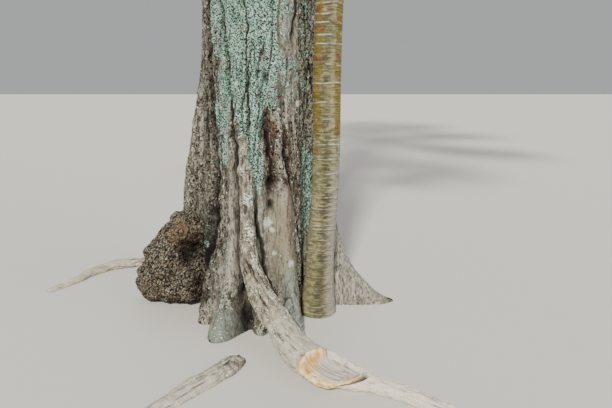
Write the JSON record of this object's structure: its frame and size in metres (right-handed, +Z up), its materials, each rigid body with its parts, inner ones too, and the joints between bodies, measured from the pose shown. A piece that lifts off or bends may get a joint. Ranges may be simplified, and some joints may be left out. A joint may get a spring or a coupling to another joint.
{
  "type": "monkey puzzle tree",
  "caption": "Whole old monkey puzzle tree: fluted trunk with a burl and surface roots, a slender ringed young stem pressed against it, and whorled boughs of spiny leaves.",
  "frame": {"origin": "middle of the flat cut under the trunk, at ground level", "axes": "+Z up along the trunk, -Y the front as the picture sees it, +X to the right of that"},
  "size_m": [9.1038, 9.017, 18.75],
  "materials": {
    "bark": "rough old bark, grey-brown, with patches of pale lichen",
    "limb_bark": "rough grey-brown bark",
    "young_bark": "smooth ringed bark, olive to ochre",
    "leaves": "stiff waxy dark green leaves"
  },
  "bodies": {
    "root": {"bough_a1": "limb_bark", "bough_a2": "limb_bark", "bough_a3": "limb_bark", "bough_a4": "limb_bark", "bough_a5": "limb_bark", "bough_b1": "limb_bark", "bough_b2": "limb_bark", "bough_b3": "limb_bark", "bough_b4": "limb_bark", "bough_b5": "limb_bark", "bough_c1": "limb_bark", "bough_c2": "limb_bark", "bough_c3": "limb_bark", "bough_c4": "limb_bark", "bough_c5": "limb_bark", "bough_d1": "limb_bark", "bough_d2": "limb_bark", "bough_d3": "limb_bark", "bough_d4": "limb_bark", "bough_d5": "limb_bark", "foliage_a1": "leaves", "foliage_a2": "leaves", "foliage_a3": "leaves", "foliage_a4": "leaves", "foliage_a5": "leaves", "foliage_b1": "leaves", "foliage_b2": "leaves", "foliage_b3": "leaves", "foliage_b4": "leaves", "foliage_b5": "leaves", "foliage_c1": "leaves", "foliage_c2": "leaves", "foliage_c3": "leaves", "foliage_c4": "leaves", "foliage_c5": "leaves", "foliage_d1": "leaves", "foliage_d2": "leaves", "foliage_d3": "leaves", "foliage_d4": "leaves", "foliage_d5": "leaves", "foliage_e1": "leaves", "foliage_e2": "leaves", "foliage_e3": "leaves", "foliage_e4": "leaves", "foliage_e5": "leaves", "foliage_f1": "leaves", "foliage_f2": "leaves", "foliage_f3": "leaves", "foliage_f4": "leaves", "foliage_g1": "leaves", "foliage_g2": "leaves", "foliage_g3": "leaves", "foliage_g4": "leaves", "leader_foliage": "leaves", "trunk": "bark", "young_foliage_1": "leaves", "young_foliage_2": "leaves", "young_foliage_3": "leaves", "young_leader_foliage": "leaves", "young_stem": "young_bark"}
  },
  "joints": []
}
